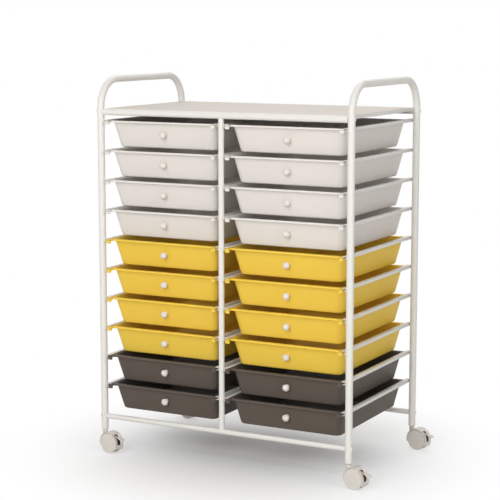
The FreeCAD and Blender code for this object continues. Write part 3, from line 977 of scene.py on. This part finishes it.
@dataclass
class Drawers:
    """The two columns of drawers with their knobs."""

    tray: Tray
    knob: Knob

    @classmethod
    def from_frame(cls) -> "Drawers":
        """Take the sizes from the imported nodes."""
        tray = Tray.from_frame()
        return cls(tray, Knob(tray))

    def _drawer(self, name: str, colour: DrawerColour, palette: Palette) -> None:
        """Build and dress one drawer and its knob.

        Args:
            name: Its column and row.
            colour: What it is moulded in.
            palette: The finishes.
        """
        body = f"drawer_{name}"
        low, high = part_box(f"drawer_{name}")
        x = (low.x + high.x) / 2
        shell = make_object(self.tray.shape(x, high.z), f"tray_{name}", palette[colour.finish],
                            sharp_degrees=MOULDING_SHARP)
        place(shell, body, colour.slot, f"drawer_{name}")
        pull = make_object(self.knob.shape(x, high.z), f"pull_{name}", palette[Finishes.KNOB],
                           sharp_degrees=MOULDING_SHARP)
        place(pull, body, "knob_plastic", f"knob_{name}")

    def build(self, palette: Palette) -> None:
        """Build and dress all drawers.

        Args:
            palette: The finishes.
        """
        for side in Side:
            for row in range(1, ROWS + 1):
                self._drawer(f"{side.word}_{row:02d}", DrawerColour.of_row(row), palette)


@dataclass
class TopBoard:
    """The flat top between the handles."""

    edge_round: float = 1.6 * MM
    edge_steps: int = 3

    # Faces whose normal has a Z below this get the board's underside, painted dark brown as shade
    back_below: float = -0.5

    def build(self, palette: Palette) -> None:
        """Build and dress the top.

        Args:
            palette: The finishes.
        """
        bm = bmesh.new()
        low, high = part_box("top_shelf")
        block(bm, low, high, self.edge_round, self.edge_steps)
        for face in bm.faces:
            face.normal_update()
            face.material_index = int(face.normal.z < self.back_below)
        board = make_object(bm, "top_board", palette[Finishes.TOP], palette[Finishes.BACKING])
        place(board, "frame", "shelf_board", "top_shelf")


def dress_kept_nodes(nodes: dict[str, bpy.types.Object], palette: Palette) -> None:
    """Give the nodes that show as they are their finish.

    Args:
        nodes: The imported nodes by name.
        palette: The finishes.
    """
    wanted = {"frame_fasteners": Finishes.FRAME, "caster_sockets": Finishes.CASTER}
    for corner in CORNERS:
        wanted[f"caster_wheels_{corner}"] = Finishes.WHEEL
        wanted[f"brake_lever_{corner}"] = Finishes.CASTER
    for name, finish in wanted.items():
        for slot in nodes[name].material_slots:
            slot.material = palette[finish]
        LOG.info("%s is dressed", name)


@dataclass
class CasterHoods:
    """The casters' bodies, with painted shade on the inside where the levers come out."""

    inside_r: float = 24.2 * MM
    inside_half: float = 5.6 * MM
    weld: float = 0.001 * MM

    def _is_inside(self, point: Vector, axle: Vector, along: Vector) -> bool:
        """Tell whether a point lies in the room between the wheels.

        Args:
            point: The point.
            axle: The middle of the axle.
            along: The axle's direction.

        Returns:
            True if it does.
        """
        away = point - axle
        across = away.dot(along)
        return abs(across) < self.inside_half and (away - along * across).length < self.inside_r

    def build(self, frame: dict[str, Any], palette: Palette) -> None:
        """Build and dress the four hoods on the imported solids' shape.

        Args:
            frame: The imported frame.
            palette: The finishes.
        """
        joints = {joint["name"]: joint for joint in frame["joints"]}
        for corner in CORNERS:
            node = f"caster_hood_{corner}"
            spin = joints[f"spin_{corner}"]
            axle = Vector(spin["pos_m"])
            along = Vector(spin["axis"])
            bm = bmesh.new()
            bm.from_mesh(frame["nodes"][node].data)
            bmesh.ops.remove_doubles(bm, verts=bm.verts[:], dist=self.weld)
            for face in bm.faces:
                # Faces between the wheels get the painted shade, a dark colour where the hood's inside
                # lies in shadow
                face.material_index = int(self._is_inside(face.calc_center_median(), axle, along))
            hood = make_object(bm, f"hood_{corner}", palette[Finishes.CASTER], palette[Finishes.RECESS])
            place(hood, f"caster_{corner}", "caster_plastic", node)


@dataclass(frozen=True)
class Lamp:
    """A square soft lamp."""

    name: str
    at: Triple
    size: float
    power: float

    def hang(self, aim: Vector) -> None:
        """Hang the lamp so that it points at a place.

        Args:
            aim: The place.
        """
        lamp = bpy.data.lights.new(self.name, "AREA")
        lamp.shape = "SQUARE"
        lamp.size = self.size
        lamp.energy = self.power
        made = bpy.data.objects.new(self.name, lamp)
        made.location = self.at
        made.rotation_euler = (aim - made.location).to_track_quat("-Z", "Y").to_euler()
        bpy.context.scene.collection.objects.link(made)


@dataclass
class Studio:
    """A white floor, soft light and the camera."""

    white: tuple[float, float, float, float] = (1, 1, 1, 1)
    floor_half: float = 30.0
    floor_tone: Colour = (0.80, 0.80, 0.80)

    # The light that the floor adds to its shading, and where that turns to plain white
    floor_lift: float = 0.11
    shaded_to: float = 0.08
    white_from: float = 0.62

    # The light from all around, and the lamps
    sky: float = 0.28
    sky_tone: Colour = (1.0, 0.99, 0.97)
    lamps: tuple[Lamp, ...] = (
        Lamp("key", at=(0.35, -3.9, 2.1), size=2.8, power=115.0),
        Lamp("fill", at=(3.4, -1.4, 1.6), size=2.0, power=29.0),
        Lamp("overhead", at=(-0.3, 1.6, 2.9), size=2.4, power=34.0),
    )
    lamps_aim: Triple = (0, 0, 0.45)

    # The camera's place, its turn about Z and its tilt down in degrees, and its lens in mm
    camera_at: Triple = (1.6462, -3.1613, 0.9945)
    camera_yaw: float = 27.852
    camera_pitch: float = 8.366
    lens: float = 113.02

    def _floor(self) -> None:
        """Lay the floor, which keeps the cart's shadow and is white elsewhere."""
        bm = bmesh.new()
        bmesh.ops.create_grid(bm, x_segments=1, y_segments=1, size=self.floor_half)
        made = bpy.data.materials.new("studio_floor")
        made.use_nodes = True
        graph = Graph(made.node_tree)
        matte = graph.node("ShaderNodeBsdfDiffuse", {}, {"Color": (*self.floor_tone, 1.0)})
        seen = self._seen(graph)
        glow = graph.node("ShaderNodeEmission", {},
                          {"Color": self.white, "Strength": seen * self.floor_lift})
        near = graph.node("ShaderNodeAddShader", {}, {0: matte, 1: glow})
        spot = graph.node("ShaderNodeTexCoord", {}, {}, "Object")
        away = graph.node("ShaderNodeVectorMath", {"operation": "LENGTH"}, {0: spot}, "Value")
        far = graph.node("ShaderNodeMapRange", {"interpolation_type": "SMOOTHSTEP"},
                         {"Value": away, "From Min": self.shaded_to, "From Max": self.white_from})
        white = graph.node("ShaderNodeEmission", {}, {"Color": self.white, "Strength": 1.0})
        both = graph.node("ShaderNodeMixShader", {}, {0: seen * far, 1: near, 2: white})
        graph.node("ShaderNodeOutputMaterial", {}, {"Surface": both})
        floor = make_object(bm, "studio_floor", made)

    @staticmethod
    def _seen(graph: Graph) -> Value:
        """Add a mask of the rays that show a surface, straight or in a reflection.

        Args:
            graph: The node tree that it is added to.

        Returns:
            1 for rays from the camera and for reflected and refracted ones, otherwise 0.
        """
        mask = graph.node("ShaderNodeLightPath", {}, {}, "Is Camera Ray")
        for ray in ("Is Glossy Ray", "Is Transmission Ray"):
            other = graph.node("ShaderNodeLightPath", {}, {}, ray)
            mask = graph.node("ShaderNodeMath", {"operation": "MAXIMUM"}, {0: mask, 1: other})
        return mask

    def _world(self) -> None:
        """Light the scene from all around, and show white behind it."""
        world = bpy.data.worlds.new("studio")
        world.use_nodes = True
        bpy.context.scene.world = world
        graph = Graph(world.node_tree)
        seen = self._seen(graph)
        light = graph.node("ShaderNodeBackground", {},
                           {"Color": (*self.sky_tone, 1.0), "Strength": self.sky})
        white = graph.node("ShaderNodeBackground", {}, {"Color": self.white, "Strength": 1.0})
        both = graph.node("ShaderNodeMixShader", {}, {0: seen, 1: light, 2: white})
        graph.node("ShaderNodeOutputWorld", {}, {"Surface": both})

    def build(self) -> None:
        """Set up floor, light and camera."""
        self._floor()
        self._world()
        for lamp in self.lamps:
            lamp.hang(Vector(self.lamps_aim))
        camera = bpy.data.cameras.new("camera")
        camera.lens = self.lens
        made = bpy.data.objects.new("camera", camera)
        made.location = self.camera_at
        tilt = QUARTER_TURN - math.radians(self.camera_pitch)
        made.rotation_euler = (tilt, 0, math.radians(self.camera_yaw))
        bpy.context.scene.collection.objects.link(made)
        bpy.context.scene.camera = made
        bpy.context.scene.view_settings.view_transform = "Standard"


def main() -> None:
    """Build the cart's pieces in order and set up the studio."""
    logging.basicConfig(level=logging.INFO)
    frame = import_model()
    palette = Palette()
    Tubework.from_frame().build(palette)
    Rails().build(palette)
    TopBoard().build(palette)
    Drawers.from_frame().build(palette)
    CasterHoods().build(frame, palette)
    dress_kept_nodes(frame["nodes"], palette)
    Studio().build()


if __name__ == "__main__":
    main()
